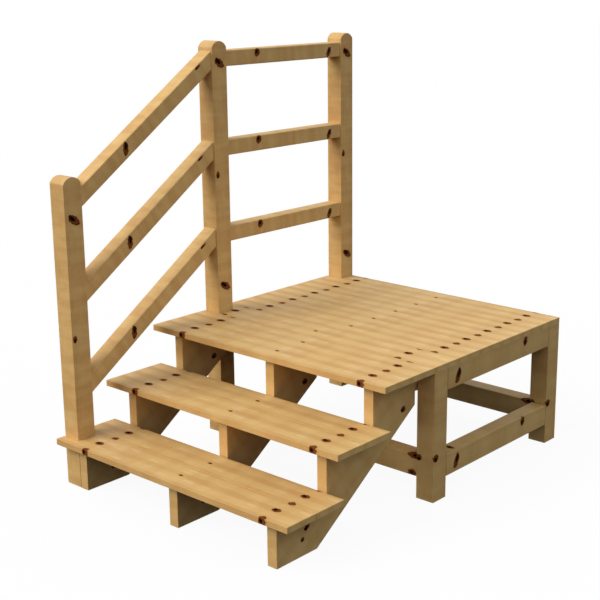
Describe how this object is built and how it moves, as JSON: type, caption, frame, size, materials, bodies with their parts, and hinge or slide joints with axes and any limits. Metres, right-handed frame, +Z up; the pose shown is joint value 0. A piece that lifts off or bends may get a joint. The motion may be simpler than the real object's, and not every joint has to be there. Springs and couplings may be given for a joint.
{
  "type": "mounting block",
  "caption": "Freestanding pine mounting block: open-riser steps up to a boarded platform on legs, with a three-rail handrail along one side.",
  "frame": {"origin": "on the ground, under the middle of the bounding box", "axes": "+X along the treads, away from the handrail; +Y from the first nosing to the back of the platform; +Z up"},
  "size_m": [1.356, 1.866, 1.857],
  "materials": {
    "boards": "planed pine, pressure treated, uncoated",
    "frame": "planed pine, pressure treated, uncoated",
    "handrail": "planed and round-edged pine, pressure treated, uncoated",
    "screws": "zinc plated"
  },
  "bodies": {
    "root": {"deck_board_1": "boards", "deck_board_2": "boards", "deck_board_3": "boards", "deck_board_4": "boards", "deck_board_5": "boards", "deck_board_6": "boards", "deck_board_7": "boards", "deck_board_8": "boards", "tread_1_front_board": "boards", "tread_1_back_board": "boards", "tread_2_front_board": "boards", "tread_2_back_board": "boards", "stringer_left": "frame", "stringer_middle": "frame", "stringer_right": "frame", "front_right_leg": "frame", "rear_right_leg": "frame", "front_apron": "frame", "rear_apron": "frame", "left_apron": "frame", "right_apron": "frame", "middle_joist": "frame", "front_stretcher": "frame", "rear_stretcher": "frame", "right_stretcher": "frame", "stair_post": "handrail", "middle_post": "handrail", "rear_post": "handrail", "stair_rail_top": "handrail", "stair_rail_middle": "handrail", "stair_rail_bottom": "handrail", "deck_rail_top": "handrail", "deck_rail_middle": "handrail", "deck_rail_bottom": "handrail", "coach_screw_left_upper": "screws", "coach_screw_left_lower": "screws", "coach_screw_middle_upper": "screws", "coach_screw_middle_lower": "screws", "coach_screw_right_upper": "screws", "coach_screw_right_lower": "screws", "coach_screw_post_upper": "screws", "coach_screw_post_lower": "screws"}
  },
  "joints": []
}
